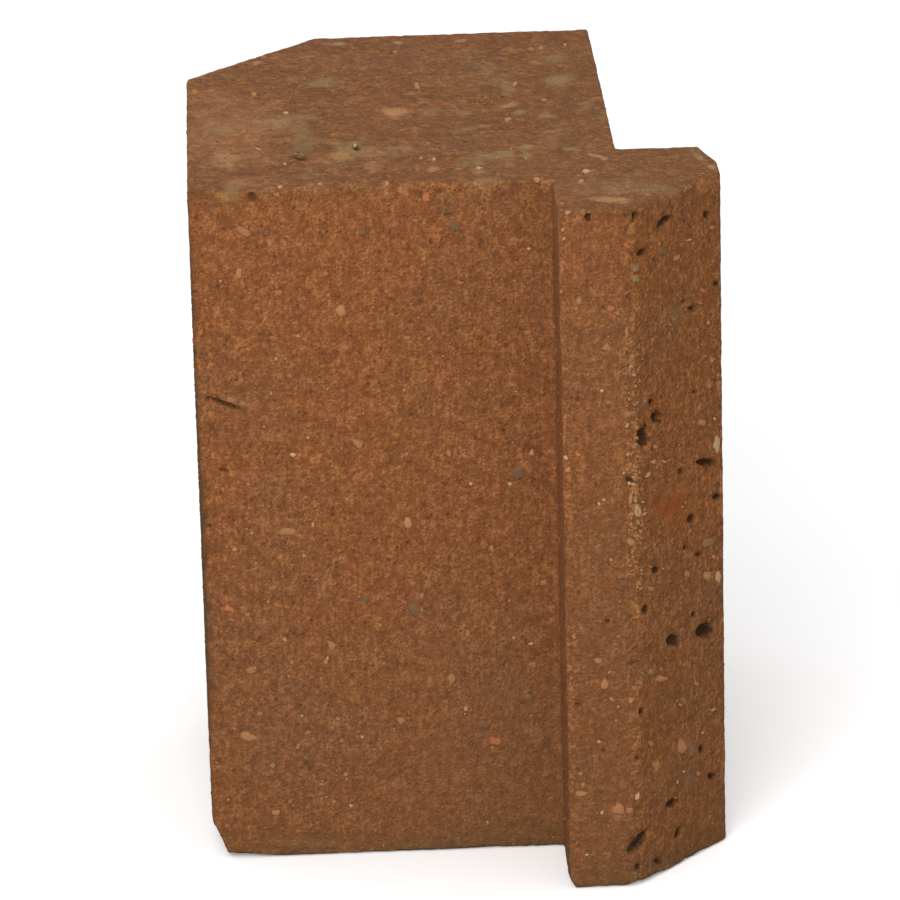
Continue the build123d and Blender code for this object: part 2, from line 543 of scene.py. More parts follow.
# Stones, with their kind
STONES = (
    (280, 186, 6, 3, 0, "white"), (320, 183, 6, 3, 0, "pale"), (277, 195, 7, 5, 0, "orange"),
    (244, 232, 20, 9, 30, "tan"), (270, 244, 5, 9, 0, "tan"), (299, 245, 8, 4, 0, "orange"),
    (239, 274, 9, 10, 0, "tan"), (279, 293, 9, 7, 0, "orange"), (326, 274, 6, 5, 0, "orange"),
    (341, 311, 14, 12, 20, "tan"), (201, 333, 7, 6, 0, "orange"), (298, 336, 5, 4, 0, "pale"),
    (276, 359, 5, 4, 0, "pale"), (362, 233, 8, 7, 0, "grey"), (426, 198, 11, 9, 0, "orange"),
    (454, 226, 12, 14, 0, "grey"), (529, 249, 4, 4, 0, "white"), (407, 338, 8, 5, 0, "tan"),
    (429, 339, 6, 5, 0, "orange"), (528, 333, 8, 6, 0, "orange"), (424, 259, 6, 5, 0, "ochre"),
    (460, 283, 9, 4, 0, "orange"), (267, 233, 7, 6, 0, "grey"), (293, 455, 7, 5, 0, "white"),
    (308, 438, 4, 4, 0, "pale"), (213, 457, 5, 5, 0, "pink"), (223, 490, 5, 5, 0, "pink"),
    (358, 444, 12, 9, 40, "tan"), (313, 525, 3, 6, 0, "white"), (235, 550, 5, 4, 0, "pale"),
    (304, 556, 5, 4, 0, "pale"), (288, 532, 22, 9, 0, "tan"), (408, 523, 10, 13, 0, "pale"),
    (471, 484, 4, 4, 0, "white"), (510, 484, 5, 4, 0, "white"), (519, 474, 14, 16, 0, "grey"),
    (532, 453, 6, 8, 0, "pale"), (449, 454, 6, 7, 0, "tan"), (492, 549, 8, 7, 0, "pink"),
    (415, 610, 14, 14, 30, "grey"), (422, 596, 6, 7, 0, "tan"), (229, 609, 11, 8, 20, "orange"),
    (248, 615, 5, 6, 0, "tan"), (268, 602, 4, 3, 0, "pale"), (285, 640, 5, 5, 0, "pale"),
    (332, 646, 9, 10, 0, "pink"), (326, 662, 6, 6, 0, "tan"), (292, 663, 5, 5, 0, "orange"),
    (251, 671, 12, 8, 0, "tan"), (289, 687, 8, 6, 0, "grey"), (289, 677, 4, 5, 0, "orange"),
    (367, 600, 9, 8, 0, "grey"), (260, 714, 7, 4, 0, "tan"), (302, 716, 3, 3, 0, "white"),
    (248, 737, 19, 11, 12, "tan"), (308, 733, 6, 5, 0, "pink"), (338, 719, 6, 5, 0, "tan"),
    (342, 741, 6, 5, 0, "orange"), (544, 583, 8, 6, 0, "tan"), (468, 634, 6, 9, 0, "tan"),
    (494, 628, 5, 5, 0, "orange"), (514, 638, 5, 4, 0, "pale"), (531, 644, 5, 4, 0, "white"),
    (452, 679, 10, 11, 0, "tan"), (533, 665, 9, 7, 0, "tan"), (530, 698, 8, 7, 0, "grey"),
    (466, 709, 5, 6, 0, "pale"), (401, 721, 9, 8, 0, "tan"), (484, 725, 15, 8, 0, "grey"),
    (496, 742, 12, 10, 110, "orange"), (273, 766, 6, 7, 0, "green"), (346, 775, 5, 5, 0, "pink"),
    (298, 747, 5, 7, 0, "orange"), (322, 785, 6, 5, 0, "ochre"), (351, 806, 5, 4, 0, "white"),
    (334, 802, 5, 4, 0, "pink"), (290, 802, 4, 4, 0, "orange"), (276, 813, 10, 6, 0, "tan"),
    (227, 826, 5, 4, 0, "pink"), (568, 212, 9, 6, 150, "pale"), (611, 309, 9, 8, 0, "orange"),
    (579, 301, 8, 8, 0, "tan"), (564, 239, 5, 4, 0, "pale"), (563, 230, 4, 5, 0, "pale"),
    (561, 292, 4, 5, 0, "ochre"), (627, 333, 5, 13, 0, "tan"), (607, 348, 9, 9, 0, "tan"),
    (602, 391, 4, 4, 0, "white"), (578, 455, 6, 7, 0, "orange"), (565, 458, 7, 5, 0, "white"),
    (568, 470, 8, 5, 150, "pale"), (599, 504, 4, 4, 0, "white"), (604, 500, 5, 4, 0, "pale"),
    (632, 543, 11, 9, 0, "tan"), (624, 584, 11, 7, 20, "grey"), (611, 560, 4, 4, 0, "pale"),
    (574, 637, 6, 5, 0, "tan"), (598, 661, 9, 6, 20, "tan"), (605, 685, 8, 14, 0, "tan"),
    (612, 700, 5, 5, 0, "tan"), (599, 742, 5, 4, 0, "pale"), (581, 774, 5, 5, 0, "tan"),
    (583, 785, 5, 5, 0, "tan"), (581, 794, 13, 6, 0, "tan"), (602, 813, 4, 4, 0, "white"),
    (619, 810, 14, 13, 0, "tan"), (587, 855, 4, 3, 0, "white"), (636, 268, 11, 8, 20, "green"),
    (637, 279, 8, 11, 0, "green"), (713, 228, 5, 6, 0, "orange"), (690, 240, 5, 3, 0, "white"),
    (678, 258, 9, 5, 120, "tan"), (663, 252, 10, 8, 0, "grey"), (704, 291, 5, 6, 0, "orange"),
    (701, 303, 5, 4, 0, "orange"), (713, 360, 6, 7, 0, "tan"), (632, 363, 9, 8, 0, "green"),
    (709, 323, 5, 4, 150, "pale"), (703, 423, 9, 8, 0, "pink"), (715, 419, 3, 4, 0, "white"),
    (718, 445, 8, 19, 0, "white"), (654, 462, 6, 5, 0, "pale"), (665, 462, 4, 4, 0, "pale"),
    (649, 475, 8, 4, 125, "white"), (656, 447, 5, 5, 0, "pale"), (639, 511, 9, 12, 0, "white"),
    (628, 426, 5, 5, 0, "white"), (635, 447, 5, 6, 0, "tan"), (629, 455, 6, 6, 0, "pale"),
    (630, 484, 4, 4, 0, "white"), (631, 500, 5, 13, 0, "pale"), (637, 500, 4, 8, 0, "pale"),
    (709, 543, 16, 9, 155, "green"), (688, 574, 7, 7, 0, "ochre"), (708, 576, 9, 11, 0, "pale"),
    (719, 577, 7, 14, 0, "white"), (640, 584, 6, 6, 0, "tan"), (652, 589, 8, 6, 0, "ochre"),
    (714, 557, 4, 4, 0, "pale"), (652, 672, 8, 7, 140, "green"), (662, 679, 12, 8, 0, "tan"),
    (631, 701, 6, 6, 0, "tan"), (697, 684, 5, 5, 0, "pink"), (681, 705, 4, 4, 0, "pale"),
    (714, 710, 4, 6, 60, "pale"), (652, 744, 6, 7, 0, "ochre"), (683, 747, 12, 15, 0, "tan"),
    (658, 766, 9, 13, 0, "ochre"), (703, 733, 3, 3, 0, "white"), (699, 774, 5, 5, 0, "orange"),
    (638, 797, 9, 5, 115, "white"), (630, 811, 9, 7, 0, "tan"), (712, 166, 9, 7, 0, "tan"),
    (417, 85, 6, 10, 160, "tan"), (515, 83, 7, 4, 150, "pale"), (544, 99, 7, 4, 0, "pink"),
    (508, 118, 9, 3, 0, "pale"), (531, 48, 8, 4, 0, "pink"), (541, 47, 7, 4, 0, "pink"),
    (565, 44, 4, 4, 0, "pale"), (479, 167, 6, 3, 0, "white"), (421, 157, 5, 3, 0, "pale"),
    (434, 158, 4, 4, 0, "white"), (586, 170, 8, 5, 0, "white"), (581, 180, 8, 4, 160, "pale"),
    (537, 178, 8, 4, 0, "pale"), (526, 157, 4, 3, 0, "pink"), (387, 182, 5, 5, 0, "pale"),
    (395, 51, 5, 3, 0, "pale"), (244, 130, 8, 5, 0, "ochre"), (286, 112, 6, 3, 0, "white"),
    (254, 93, 7, 4, 0, "pale"), (195, 91, 8, 6, 0, "ochre"), (355, 144, 4, 3, 0, "white"),
    (347, 154, 8, 5, 0, "ochre"), (258, 148, 9, 2, 25, "pale"), (285, 163, 5, 3, 0, "pale"),
)

# Smears and stained patches in the paste, and a line of painted shade, with their kind and their strength
SMEARS = (
    (600, 600, 90, 600, 0, "dark", 0.1), (490, 770, 260, 280, 0, "grey", 0.14),
    (230, 125, 130, 90, 0, "pale", 0.25), (660, 200, 130, 60, 0, "dark", 0.12),
    (220, 98, 14, 4, 0, "tan", 0.5), (229, 163, 20, 4, 0, "pale", 0.4),
    (560, 56, 22, 4, 178, "tan", 0.5), (512, 131, 14, 8, 0, "grey", 0.5),
    (595, 56, 7, 10, 0, "rust", 0.5), (642, 172, 26, 6, 172, "pink", 0.35),
    (453, 109, 10, 6, 150, "tan", 0.5), (375, 169, 14, 8, 0, "tan", 0.5),
    (418, 63, 13, 11, 0, "grey", 0.4), (670, 508, 26, 22, 0, "rust", 0.95),
    (710, 298, 13, 11, 0, "rust", 0.95), (673, 314, 24, 19, 0, "green", 0.35),
    (701, 253, 13, 8, 0, "rust", 0.5), (666, 533, 10, 8, 0, "orange", 0.35),
    (685, 777, 25, 27, 0, "grey", 0.5), (695, 747, 12, 18, 0, "grey", 0.5),
    (641, 404, 9, 26, 0, "grey", 0.4), (670, 691, 15, 9, 0, "grey", 0.4),
    (662, 683, 26, 12, 0, "rust", 0.3), (245, 634, 16, 10, 0, "grey", 0.4),
    (462, 644, 10, 13, 0, "grey", 0.4), (368, 720, 14, 9, 0, "grey", 0.4),
    (532, 731, 17, 9, 0, "tan", 0.35), (293, 594, 9, 6, 0, "orange", 0.35),
    (300, 843, 90, 9, 1, "green", 0.3), (450, 845, 180, 8, 178, "grey", 0.3),
    (687, 667, 9, 9, 0, "orange", 0.35), (231, 187, 22, 8, 0, "green", 0.7),
    (220, 196, 13, 7, 20, "ochre", 0.7), (213, 208, 16, 11, 0, "grey", 0.7),
    (429, 681, 5, 14, 0, "pale", 0.7), (593, 307, 14, 4, 10, "pale", 0.7),
    (576, 850, 19, 6, 8, "orange", 0.7), (666, 359, 22, 5, 0, "ochre", 0.7),
    (630, 414, 6, 15, 80, "pale", 0.7), (512, 49, 16, 7, 10, "ochre", 0.7),
    (535, 62, 14, 5, 0, "tan", 0.7), (525, 156, 14, 7, 0, "grey", 0.7),
    (527, 146, 13, 6, 0, "tan", 0.7), (290, 78, 13, 6, 0, "ochre", 0.7),
    (301, 134, 26, 44, 0, "green", 0.45), (301, 148, 24, 22, 0, "grey", 0.5),
    (325, 81, 32, 12, 0, "green", 0.8), (288, 66, 20, 6, 0, "green", 0.4),
    (396, 112, 30, 13, 0, "pale", 0.8), (431, 111, 26, 16, 0, "green", 0.6),
    (224, 129, 42, 8, 0, "green", 0.75), (212, 121, 16, 5, 0, "tan", 0.5),
    (350, 148, 44, 11, -33, "green", 0.65), (338, 156, 22, 8, 0, "pale", 0.5),
    (226, 159, 28, 17, 0, "pale", 0.55), (229, 161, 24, 9, 0, "green", 0.5),
    (372, 167, 17, 10, 0, "tan", 0.6), (386, 183, 9, 7, 0, "pale", 0.6),
    (251, 196, 14, 11, 0, "rust", 0.7), (559, 79, 32, 12, -8, "green", 0.9),
    (508, 88, 16, 15, 0, "green", 0.7), (509, 104, 20, 6, -15, "pale", 0.7),
    (520, 111, 15, 6, -5, "green", 0.95), (545, 114, 20, 5, 0, "green", 0.95),
    (586, 104, 18, 11, -20, "green", 0.6), (468, 128, 38, 6, -8, "green", 0.8),
    (553, 130, 32, 5, -10, "tan", 0.5), (504, 151, 22, 9, 15, "green", 0.9),
    (526, 151, 13, 15, 0, "green", 0.9), (478, 160, 13, 9, 0, "green", 0.8),
    (478, 170, 17, 6, 0, "pale", 0.7), (433, 168, 14, 6, 0, "pale", 0.7),
    (571, 148, 28, 4, 3, "green", 0.9), (598, 155, 26, 4, 15, "pale", 0.8),
    (607, 199, 44, 9, 5, "pale", 0.6), (446, 205, 18, 30, 0, "grey", 0.35),
    # The long dark line at x 201 is painted shade on the shaded side of the left arris
    (229, 399, 52, 6, 21, "pale", 0.7), (201, 515, 700, 7, 87.6, "dark", 0.85),
    (250, 180, 60, 9, 0, "tan", 0.3), (672, 508, 50, 42, 0, "rust", 0.45),
    (337, 43, 22, 4, 0, "white", 0.6), (256, 63, 12, 4, -20, "white", 0.6),
    (398, 42, 12, 3, 0, "white", 0.6), (462, 40, 16, 3, -3, "white", 0.5),
    (700, 157, 20, 5, 40, "white", 0.5), (684, 746, 20, 20, 0, "tan", 0.35),
    (617, 812, 26, 20, 0, "tan", 0.4), (662, 766, 14, 18, 0, "ochre", 0.35),
)

# The worn part of the arris between the land and the mitre, in the same pixels: its upper and lower end
CRUMBLED = ((632, 330), (640, 590))


def crumbs(rng, count):
    """Rows of small pale stones at random about the worn part of the arris, most of them near its middle."""
    share = np.clip(rng.normal(0.6, 0.25, count), 0, 1)[:, None]
    places = (1 - share) * np.array(CRUMBLED[0]) + share * np.array(CRUMBLED[1])
    places += rng.normal(0, 1, (count, 2)) * (4.5, 2)
    longs, turns = rng.uniform(2, 5.5, count), rng.uniform(0, 180, count)
    kinds = rng.choice(("pale", "white", "tan"), count)
    columns = (*places.T.tolist(), longs.tolist(), (0.65 * longs).tolist(), turns.tolist(), kinds.tolist())
    return tuple(zip(*columns))


def void_depth(marks, depths, points, seed):
    """Depth of the voids: each is an oval bowl whose rim is bent in and out by noise."""
    depth = np.zeros(len(points))
    ragged = 0.2 * cloud(points, 1.8 * MM, seed + 91, 2)
    for k, deep in enumerate(depths):
        near = np.flatnonzero(np.abs(points - marks.middle[k]).max(1) < VOID_REACH)
        radius = marks.radius(k, points[near]) + ragged[near]
        depth[near] = np.maximum(depth[near], (1 - smooth(0.55, 1.1, radius)) * deep)
    return depth


def stain(marks, rows, palette, points, seed):
    """Red, green, blue and strength of the smears at the points, fading at their ragged rims."""
    made = np.zeros((len(points), 4))
    ragged = 0.5 * cloud(points, 3 * MM, seed + 97, 3)
    for k, row in enumerate(rows):
        weight = row[6] * (1 - smooth(0.3, 1.25, marks.radius(k, points) + ragged))[:, None]
        made[:, :3] += weight * (np.array(getattr(palette, row[5])) - made[:, :3])
        made[:, 3:] += weight * (1 - made[:, 3:])
    made[:, :3] /= np.maximum(made[:, 3:], 1e-6)
    return made


# Lengths over which the relief rises and falls, one or one for each axis
SAND_SIZE, WAVE_SIZE, TEAR_SIZE = 1.6 * MM, 35 * MM, 3.4 * MM
DRAG_SIZE, LONG_DRAG_SIZE = np.array([1.5, 1.5, 45]) * MM, np.array([4, 4, 90]) * MM
SMEAR_SIZE = np.array([9, 4, 6]) * MM

WAVE_HEIGHT = 0.1 * MM
LEAST_DEPTH = 0.02 * MM  # what always stays between the surface and the mould's planes


def relief(zones, surface):
    """Depth of the surface under the mould's planes: sand, drag lines, smears, tears and slow waves."""
    points, seed = zones.points, surface.seed
    sand = cloud(points, SAND_SIZE, seed, 2) * (0.75 + 0.4 * zones.mitre)
    waves = noise(points, WAVE_SIZE, seed + 3) * WAVE_HEIGHT
    drag = noise(points, DRAG_SIZE, seed + 5)
    drag += 0.6 * noise(points, LONG_DRAG_SIZE, seed + 6)
    smear = cloud(points, SMEAR_SIZE, seed + 7, 3)
    tear = cloud(points, TEAR_SIZE, seed + 9, 3)
    moulded = (1 - zones.bed) * (1 - zones.mitre)
    depth = surface.skin + surface.grain * sand + waves
    depth += surface.drag * drag * moulded
    depth += surface.smear * smear * zones.bed
    depth += surface.tear * (tear + 0.4) * zones.mitre
    return np.maximum(depth, LEAST_DEPTH)


def soft_over(values, blend):
    """Values where positive and 0 where negative, with a rounded bend between: the softplus curve."""
    return blend * np.logaddexp(0, values / blend)


# How much each upright arris is worn, by the wall that starts at it
ARRIS_WEAR = {
    "front": 1.0,
    "land": 1.0,
    "mitre": 1.6,
    "outer": 1.1,
    "tail": 0.5,
    "rear": 0.6,
    "back": 1.0,
    "cut": 0.8,
    "left": 0.8,
}

# How light an arris's worn grains are, by the wall that starts at it: all along, and in its middle part
LIGHT_ARRIS = {"front": (0.1, 0.1), "land": (0.4, 0.4), "mitre": (0.3, 1.0), "outer": (0.5, 0.7)}

# Extra wear of the bed's arris along a wall: the wall, at the top or the foot, and the depth in mm
BED_WEAR = (("mitre", 0, 0.2), ("mitre", 1, 0.8), ("outer", 1, 0.5))

# Broken corners: corner of the plan, at the top or the foot, and the reach along X, Y and Z in mm
BREAKS = (
    ("front", 0, (5.5, 36.0, 13.0)),
    ("front", 0, (24.0, 9.0, 3.0)),
    ("land", 0, (2.2, 12.0, 4.6)),
    ("mitre", 0, (-5.5, 4.8, 2.3)),
    ("land", 1, (2.5, 3.5, -4.0)),
    ("outer", 1, (-4.0, 3.5, -3.0)),
)


ARRIS_REACH = 12 * MM   # an upright arris is worn as far as this from its line
BED_REACH = 8 * MM      # and a bed's arris, or a broken corner past its fracture, as far as this
WORN_BEND = 0.12 * MM   # rounding where a worn flat meets a face
BROKEN_BEND = 0.1 * MM  # and where a fracture does
FRACTURE_ROUGH = 0.35 * MM
MIDDLE_STARTS, MIDDLE_ENDS = (80 * MM, 105 * MM), (160 * MM, 180 * MM)  # heights of an arris's middle part


def worn_share(plan, zones, seed):
    """Share of light worn grains: it fades over 3 mm from an arris and comes and goes along it by noise."""
    points = zones.points
    to_bed = np.sort(np.stack([zones.inset, zones.below_top, zones.above_foot]), axis=0)[1]
    worn = 0.3 * (1 - smooth(0.8 * MM, 2.5 * MM, to_bed))
    level = zones.above_foot
    middle = smooth(*MIDDLE_STARTS, level) * (1 - smooth(*MIDDLE_ENDS, level))
    for name, (low, high) in LIGHT_ARRIS.items():
        away = np.linalg.norm(points[:, :2] - plan.start[plan.index(name)], axis=1)
        share = low + (high - low) * middle
        worn = np.maximum(worn, share * (1 - smooth(0.8 * MM, 3.2 * MM, away)))
    return worn * smooth(-0.9, 0.7, cloud(points, 12 * MM, seed + 41, 3))


def wear_down(plan, points, surface, spare=0.0):
    """Push the arrises in to flats of uneven depth and the broken corners back to their fractures.

    An upright arris is cut square to the bisector of its walls, and a bed's arris at 45 degrees. The
    depth of the cut varies along it by noise. A fracture is the plane through one point on each of the
    corner's three edges. The spare depth is left on, as on a stone harder than the paste.
    """
    points = points.copy()
    zones = Zones(plan, points)
    ragged = cloud(points, 9 * MM, surface.seed + 31, 3)
    fine = cloud(points, 2.4 * MM, surface.seed + 37, 2)
    for name, amount in ARRIS_WEAR.items():
        k = plan.index(name)
        bisector = unit(plan.normal[k - 1] + plan.normal[k])
        cut = amount * surface.wear * (0.7 + 0.6 * ragged + 0.3 * fine) - spare
        over = (points[:, :2] - plan.start[k]) @ bisector + cut
        near = np.linalg.norm(points[:, :2] - plan.start[k], axis=1) < ARRIS_REACH
        points[:, :2] -= (soft_over(over, WORN_BEND) * near)[:, None] * bisector
    for at_top, level, side in ((1, plan.high, 1), (0, plan.low, -1)):
        to_bed = side * (level - points[:, 2])
        cut = surface.wear * (0.7 + 0.5 * ragged + 0.3 * fine) - spare
        for name, where, depth in BED_WEAR:
            cut += (where == at_top) * (zones.wall == plan.index(name)) * depth * MM * (0.8 + 0.4 * ragged)
        over = cut - (zones.inset + to_bed) / np.sqrt(2)
        near = (to_bed < BED_REACH) & (zones.inset < BED_REACH)
        push = soft_over(over, WORN_BEND) * near / np.sqrt(2)
        points[:, :2] -= push[:, None] * plan.normal[zones.wall]
        points[:, 2] -= side * push
    rough = cloud(points, 3 * MM, surface.seed + 51, 3) * FRACTURE_ROUGH - spare
    for name, at_top, reach in BREAKS:
        corner = np.array([*plan.start[plan.index(name)], plan.high if at_top else plan.low])
        ends = corner + np.diag(reach) * MM
        outward = unit(np.cross(ends[1] - ends[0], ends[2] - ends[0]))
        outward *= np.sign(outward @ (corner - ends.mean(0)))
        near = np.linalg.norm(points - corner, axis=1) < max(np.abs(reach)) * MM + BED_REACH
        over = (points - ends.mean(0)) @ outward + rough
        points -= (soft_over(over, BROKEN_BEND) * near)[:, None] * outward
    return np.clip(points, LOW, HIGH)


def lumps(marks, thick, proud, rng, around, over):
    """Flattened lumps, one on each mark, closed and with their tops just under the face.

    A point is the middle plus the two half axes turned through t from 0 to a full turn, times sin(f)
    and an outline of random lobes 1 + sum(a cos(n t + p)) for n from 2 to 5, plus the normal times the
    thickness and cos(f) to the power 0.6, for f from 0 to half a turn. Returns the points, the
    faces, and sin(f) as the share of the way to the rim.
    """
    count = len(marks.middle)
    turn = np.linspace(0, 2 * np.pi, around, endpoint=False)
    lobes = np.arange(2, 6)
    strength = rng.normal(0, 0.16, (count, 4)) / np.sqrt(lobes)
    phase = rng.uniform(0, 2 * np.pi, (count, 4))
    outline = 1 + (strength[..., None] * np.cos(lobes[:, None] * turn + phase[..., None])).sum(1)
    fall = np.linspace(0, np.pi, over + 2)
    out, rise = np.sin(fall), np.sign(np.cos(fall)) * np.abs(np.cos(fall)) ** 0.6
    flat = np.cos(turn)[:, None] * marks.long[:, None] + np.sin(turn)[:, None] * marks.wide[:, None]
    flat = flat * outline[..., None]
    sunk = marks.middle - (thick + proud)[:, None] * marks.normal
    up = thick[:, None, None] * marks.normal[:, None] * rise[:, None]
    rings = sunk[:, None, None] + out[1:-1, None, None] * flat[:, None] + up[:, 1:-1, None]
    poles = sunk[:, None] + up[:, [0, -1]]
    each = over * around + 2
    points = np.concatenate([rings.reshape(count, -1, 3), poles], axis=1).reshape(-1, 3)
    step, following = np.arange(around), (np.arange(around) + 1) % around
    quads = ring_faces(over, around)[:, ::-1]
    caps = np.concatenate([
        np.stack([step, following, np.full(around, each - 2)], axis=1),
        np.stack([following, step, np.full(around, each - 1)], axis=1) + [[(over - 1) * around] * 2 + [0]],
    ])
    shift = each * np.arange(count)[:, None, None]
    faces = [(quads[None] + shift).reshape(-1, 4), (caps[None] + shift).reshape(-1, 3)]
    reach = np.tile(np.concatenate([np.repeat(out[1:-1], around), (0, 0)]), count)
    return points, faces, reach


# Meshes


def new_object(name, points, faces, smooth_shading=True):
    """A mesh object from an array of points and a list of arrays of faces."""
    mesh = bpy.data.meshes.new(name)
    rows = [row for block in faces for row in block.tolist()]
    mesh.from_pydata(points.tolist(), [], rows)
    mesh.polygons.foreach_set("use_smooth", np.full(len(mesh.polygons), smooth_shading))
    mesh.update()
    piece = bpy.data.objects.new(name, mesh)
    bpy.context.scene.collection.objects.link(piece)
    return piece


def mesh_points(mesh):
    flat = np.empty(len(mesh.vertices) * 3, np.float32)
    mesh.vertices.foreach_get("co", flat)
    return flat.reshape(-1, 3).astype(float)


def thin(piece, triangles):
    """Collapse the edges that carry the least shape until the given number of triangles is left."""
    piece.data.calc_loop_triangles()
    share = triangles / len(piece.data.loop_triangles)
    if share >= 1:
        return
    modifier = piece.modifiers.new("Thin", "DECIMATE")
    modifier.ratio = share
    depsgraph = bpy.context.evaluated_depsgraph_get()
    full = piece.data
    piece.data = bpy.data.meshes.new_from_object(piece.evaluated_get(depsgraph))
    piece.modifiers.remove(modifier)
    bpy.data.meshes.remove(full)
    piece.data.name = piece.name


def set_attribute(mesh, name, values):
    """One number for each point, or four as a colour and its strength."""
    if values.ndim == 1:
        mesh.attributes.new(name, "FLOAT", "POINT").data.foreach_set("value", values.astype(np.float32))
    else:
        attribute = mesh.attributes.new(name, "FLOAT_COLOR", "POINT")
        attribute.data.foreach_set("color", values.astype(np.float32).ravel())


# Materials


class Nodes:
    """Short calls that add nodes to a tree and link them."""

    def __init__(self, tree):
        self.tree = tree

    def add(self, kind, settings=None, **inputs):
        node = self.tree.nodes.new(kind)
        for name, value in (settings or {}).items():
            setattr(node, name, value)
        for name, value in inputs.items():
            self.put(node.inputs[name.replace("_", " ")], value)
        return node

    def put(self, socket, value):
        if isinstance(value, bpy.types.NodeSocket):
            self.tree.links.new(value, socket)
        elif socket.type == "RGBA" and len(value) == 3:
            socket.default_value = (*value, 1)
        else:
            socket.default_value = value

    def math(self, operation, *values):
        node = self.add("ShaderNodeMath", {"operation": operation})
        for socket, value in zip(node.inputs, values):
            self.put(socket, value)
        return node.outputs[0]

    def mix(self, factor, first, second):
        node = self.add("ShaderNodeMix", {"data_type": "RGBA"})
        self.put(node.inputs[0], factor)
        self.put(node.inputs[6], first)
        self.put(node.inputs[7], second)
        return node.outputs[2]

    def ramp(self, value, low, high, start=0.0, end=1.0):
        node = self.add("ShaderNodeMapRange", {"interpolation_type": "SMOOTHSTEP"}, Value=value)
        for name, number in (("From Min", low), ("From Max", high), ("To Min", start), ("To Max", end)):
            self.put(node.inputs[name], number)
        return node.outputs[0]

    def noise(self, vector, scale, detail=2.0, roughness=0.5):
        node = self.add("ShaderNodeTexNoise", Vector=vector, Scale=scale, Detail=detail)
        self.put(node.inputs["Roughness"], roughness)
        return node.outputs[0]

    def stretch(self, vector, scale):
        node = self.add("ShaderNodeMapping", Vector=vector, Scale=scale)
        return node.outputs[0]

    def attribute(self, name, output="Fac"):
        return self.add("ShaderNodeAttribute", {"attribute_name": name}).outputs[output]


def new_group(name, inputs, outputs):
    """A shader node group with named sockets. Returns the group, its Nodes, its input and output nodes."""
    tree = bpy.data.node_groups.new(name, "ShaderNodeTree")
    for label, kind, default in inputs:
        socket = tree.interface.new_socket(label, in_out="INPUT", socket_type=kind)
        if default is not None:
            socket.default_value = default
    for label, kind in outputs:
        tree.interface.new_socket(label, in_out="OUTPUT", socket_type=kind)
    nodes = Nodes(tree)
    return tree, nodes, nodes.add("NodeGroupInput"), nodes.add("NodeGroupOutput")


FLOAT, COLOUR, VECTOR = "NodeSocketFloat", "NodeSocketColor", "NodeSocketVector"


def sand_group():
    """Sand grains: cells of one random shade each, with a few light and dark ones, and their relief."""
    group, nodes, given, made = new_group(
        "Sand grains",
        [
            ("Vector", VECTOR, None),
            ("Scale", FLOAT, 1200.0),
            ("Light Share", FLOAT, 0.1),
            ("Dark Share", FLOAT, 0.1),
        ],
        [("Shade", FLOAT), ("Light", FLOAT), ("Dark", FLOAT), ("Height", FLOAT)],
    )
    cells = nodes.add(
        "ShaderNodeTexVoronoi", {"feature": "F1"}, Vector=given.outputs[0], Scale=given.outputs[1]
    )
    split = nodes.add("ShaderNodeSeparateColor", Color=cells.outputs["Color"])
    light = nodes.math("LESS_THAN", split.outputs[1], given.outputs["Light Share"])
    dark = nodes.math("LESS_THAN", split.outputs[2], given.outputs["Dark Share"])
    core = nodes.ramp(cells.outputs["Distance"], 0.2, 0.55, 1.0, 0.0)
    nodes.put(made.inputs["Shade"], split.outputs[0])
    nodes.put(made.inputs["Light"], nodes.math("MULTIPLY", light, core))
    nodes.put(made.inputs["Dark"], nodes.math("MULTIPLY", dark, core))
    raised = nodes.math("MULTIPLY", core, split.outputs[0])
    nodes.put(made.inputs["Height"], raised)
    return group


# Cells in a metre of the noises in the paste
SCALES = {"drift": 26.0, "patches": 48.0, "level": 150.0, "mottle": 270.0, "upright": 800.0}
UPRIGHT_STRETCH = (1.0, 1.0, 0.2)

# Kinds of sand grain: cells in a metre, the shares that are light and dark, and how far their shade and
# their height count
GRAINS = ((1500.0, 0.16, 0.16, 0.34, 0.5), (760.0, 0.07, 0.07, 0.22, 1.0), (520.0, 0.04, 0.035, 0.0, 0.0))


def clouded_colour(nodes, given, place, bed, mitre):
    """Each face's own colour, with ashen drifts, ruddy patches, and olive ones on the beds."""
    paste = nodes.mix(bed, given.outputs["Moulded"], given.outputs["Struck"])
    paste = nodes.mix(mitre, paste, given.outputs["Torn"])
    drift = nodes.noise(place, SCALES["drift"], 3.0, 0.6)
    paste = nodes.mix(nodes.ramp(drift, 0.42, 0.72, 0.0, 0.6), paste, given.outputs["Ashen"])
    patches = nodes.add("ShaderNodeTexNoise", Vector=place, Scale=SCALES["patches"], Detail=5.0)
    patches.inputs["Roughness"].default_value = 0.62
    split = nodes.add("ShaderNodeSeparateColor", Color=patches.outputs["Color"])
    olive = nodes.math("MULTIPLY", bed, nodes.ramp(split.outputs[0], 0.54, 0.7, 0.0, 0.7))
    paste = nodes.mix(olive, paste, given.outputs["Smeared"])
    most_ruddy = nodes.math("MULTIPLY_ADD", bed, 0.35, 0.35)
    ruddy = nodes.math("MULTIPLY", most_ruddy, nodes.ramp(split.outputs[1], 0.48, 0.68, 0.0, 1.0))
    return nodes.mix(ruddy, paste, given.outputs["Torn"])


